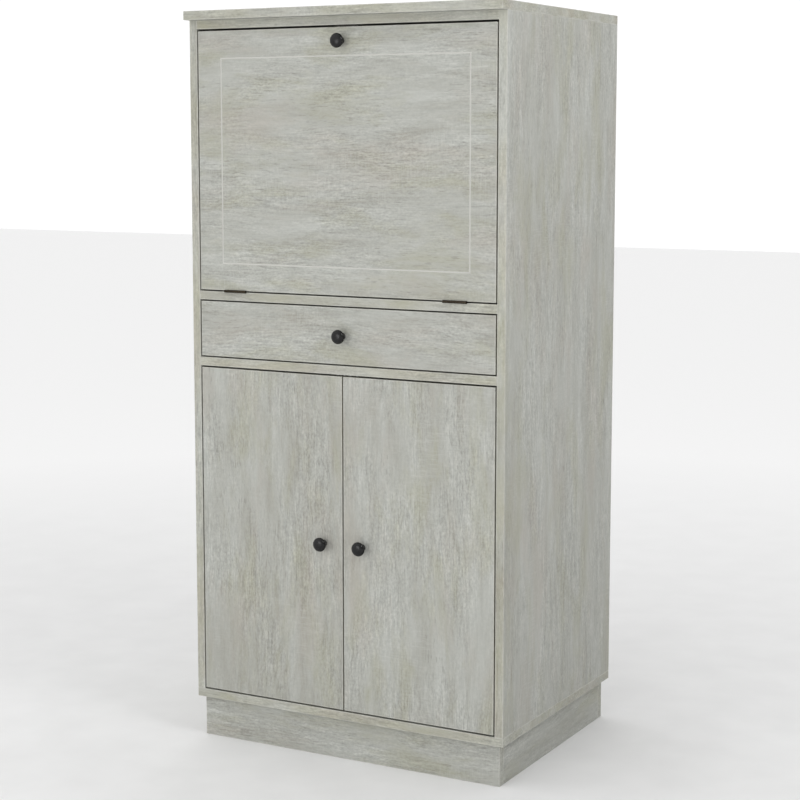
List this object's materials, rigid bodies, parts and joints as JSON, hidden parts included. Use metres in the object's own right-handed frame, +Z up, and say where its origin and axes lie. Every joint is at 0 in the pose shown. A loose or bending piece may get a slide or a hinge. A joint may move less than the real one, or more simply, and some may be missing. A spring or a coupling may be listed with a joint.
{
  "type": "secretary desk",
  "caption": "Tall narrow secretary desk: drop-front writing flap on slotted stays over a drawer and a two-door cabinet, on an inset plinth.",
  "frame": {"origin": "middle of the object's box at floor level", "axes": "+Z up, -Y towards the user (the front), +X to the user's right"},
  "size_m": [0.6, 0.471, 1.27],
  "materials": {
    "laminate": "washed grey oak melamine laminate, matt, with fine pores",
    "hardboard": "printed 3 mm hardboard, matt",
    "softwood": "sawn pine",
    "knob_black": "satin black",
    "hinge_bronze": "antique bronze",
    "hinge_steel": "nickel plated pressed steel",
    "zinc_steel": "zinc plated",
    "catch_plastic": "moulded",
    "runner_white": "white epoxy",
    "roller_nylon": "moulded nylon"
  },
  "bodies": {
    "root": {"side_panel_left": "laminate", "side_panel_right": "laminate", "top_board": "laminate", "sub_top": "laminate", "desk_shelf": "laminate", "drawer_divider": "laminate", "bottom_panel": "laminate", "back_panel": "hardboard", "back_panel_screws": "zinc_steel", "plinth_front": "laminate", "plinth_back": "laminate", "plinth_side_left": "laminate", "plinth_side_right": "laminate", "plinth_corner_blocks": "softwood", "cam_locks": "zinc_steel", "organizer_shelf": "laminate", "organizer_dividers": "laminate", "adjustable_shelf": "laminate", "shelf_pins": "zinc_steel", "flap_hinge_fixed_leaves": "hinge_bronze", "flap_hinge_pins": "hinge_bronze", "stay_studs": "zinc_steel", "flap_catch": "catch_plastic", "door_catch": "catch_plastic", "door_hinge_arms_left": "hinge_steel", "door_hinge_arms_right": "hinge_steel", "door_hinge_plates": "hinge_steel", "door_hinge_pins": "hinge_steel", "runner_cabinet_left": "runner_white", "runner_cabinet_right": "runner_white"},
    "flap": {"flap_panel": "laminate", "flap_knob": "knob_black", "flap_knob_screw": "zinc_steel", "flap_hinge_moving_leaves": "hinge_bronze", "stay_brackets": "zinc_steel", "stay_rivets": "zinc_steel", "flap_strike_plate": "zinc_steel"},
    "stay_left": {"stay_arm_left": "zinc_steel"},
    "stay_right": {"stay_arm_right": "zinc_steel"},
    "drawer": {"drawer_front": "laminate", "drawer_side_left": "laminate", "drawer_side_right": "laminate", "drawer_back": "laminate", "drawer_bottom": "hardboard", "drawer_knob": "knob_black", "drawer_knob_screw": "zinc_steel", "runner_drawer_left": "runner_white", "runner_drawer_right": "runner_white"},
    "front_rollers": {"runner_rollers_front": "roller_nylon"},
    "rear_rollers": {"runner_rollers_rear": "roller_nylon"},
    "door_left": {"door_panel_left": "laminate", "door_knob_left": "knob_black", "door_knob_left_screw": "zinc_steel", "door_hinge_cups_left": "hinge_steel", "door_strike_left": "zinc_steel"},
    "door_right": {"door_panel_right": "laminate", "door_knob_right": "knob_black", "door_knob_right_screw": "zinc_steel", "door_hinge_cups_right": "hinge_steel", "door_strike_right": "zinc_steel"}
  },
  "joints": [
    {"name": "flap_hinge", "type": "hinge", "parent": "root", "child": "flap", "pos_m": [0, -0.2169, 0.79575], "axis": [1, 0, 0], "range_deg": [0, 90]},
    {"name": "stay_left_pivot", "type": "hinge", "parent": "flap", "child": "stay_left", "pos_m": [-0.278, -0.1915, 0.98404], "axis": [1, 0, 0], "range_deg": [-45, 0]},
    {"name": "stay_right_pivot", "type": "hinge", "parent": "flap", "child": "stay_right", "pos_m": [0.278, -0.1915, 0.98404], "axis": [1, 0, 0], "range_deg": [-45, 0]},
    {"name": "drawer_slide", "type": "slide", "parent": "root", "child": "drawer", "axis": [0, -1, 0], "range_m": [0, 0.3]},
    {"name": "front_rollers_spin", "type": "hinge", "parent": "root", "child": "front_rollers", "pos_m": [0, -0.1845, 0.6975], "axis": [1, 0, 0], "range_deg": [0, 1911]},
    {"name": "rear_rollers_spin", "type": "hinge", "parent": "drawer", "child": "rear_rollers", "pos_m": [0, 0.1705, 0.6955], "axis": [1, 0, 0], "range_deg": [0, 2150]},
    {"name": "door_left_hinge", "type": "hinge", "parent": "root", "child": "door_left", "pos_m": [-0.2695, -0.2075, 0.37525], "axis": [0, 0, -1], "range_deg": [0, 90]},
    {"name": "door_right_hinge", "type": "hinge", "parent": "root", "child": "door_right", "pos_m": [0.2695, -0.2075, 0.37525], "axis": [0, 0, 1], "range_deg": [0, 90]}
  ],
  "couplings": [
    {"joint": "stay_left_pivot", "follows": "flap_hinge", "ratio": -0.5},
    {"joint": "stay_right_pivot", "follows": "flap_hinge", "ratio": -0.5},
    {"joint": "front_rollers_spin", "follows": "drawer_slide", "rad_per_m": 111.11},
    {"joint": "rear_rollers_spin", "follows": "drawer_slide", "rad_per_m": 125}
  ]
}
